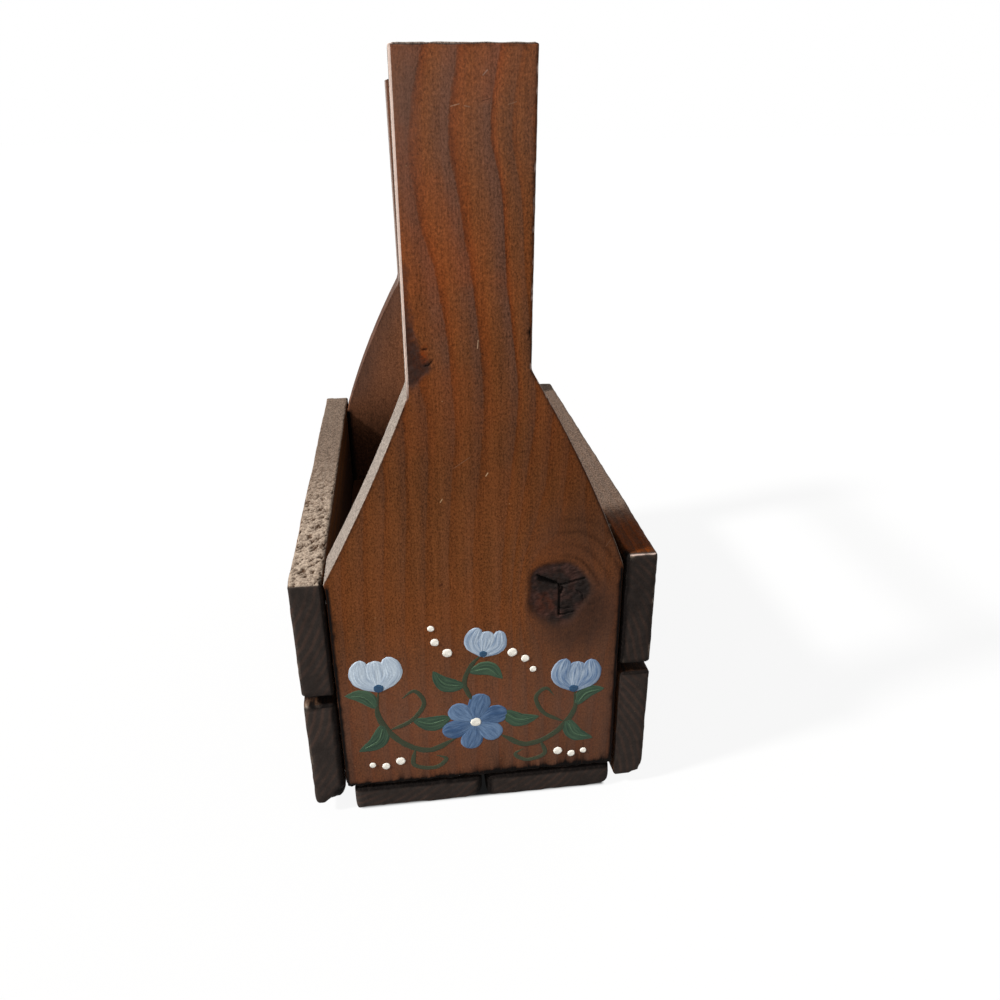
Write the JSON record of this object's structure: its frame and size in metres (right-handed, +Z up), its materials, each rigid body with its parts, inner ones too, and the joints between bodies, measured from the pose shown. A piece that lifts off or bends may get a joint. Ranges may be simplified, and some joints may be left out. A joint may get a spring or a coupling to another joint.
{
  "type": "wooden tool tote with drawer",
  "caption": "Small slatted wooden tool tote: two paddle-shaped end boards, a dowel handle, an open tray and a drawer below it.",
  "frame": {"origin": "on the ground plane, at the middle of the whole object's length and width, knob included", "axes": "+Z up, +Y along the tote from the painted end to the other end, +X towards the drawer's front"},
  "size_m": [0.1576, 0.228, 0.2855],
  "materials": {
    "stained_board": "orange-brown stained pine, satin",
    "stained_slat": "dark brown stained pine, worn edges",
    "handle_wood": "stained hardwood, handled smooth",
    "drawer_wood": "lightly stained pine, matt",
    "steel": "dulled steel"
  },
  "bodies": {
    "tote": {"front_end_board": "stained_board", "rear_end_board": "stained_board", "lower_left_slat": "stained_slat", "upper_left_slat": "stained_slat", "upper_right_slat": "stained_slat", "left_bottom_slat": "stained_slat", "right_bottom_slat": "stained_slat", "tray_floor": "stained_slat", "handle_dowel": "handle_wood", "side_slat_nails": "steel", "bottom_slat_nails": "steel", "handle_nails": "steel"},
    "drawer": {"drawer_front": "stained_slat", "front_drawer_side": "drawer_wood", "rear_drawer_side": "drawer_wood", "drawer_back": "drawer_wood", "drawer_bottom": "drawer_wood", "drawer_knob": "handle_wood", "knob_screw": "steel", "drawer_nails": "steel"}
  },
  "joints": [
    {"name": "drawer_slide", "type": "slide", "parent": "tote", "child": "drawer", "axis": [1, 0, 0], "range_m": [0, 0.085]}
  ]
}
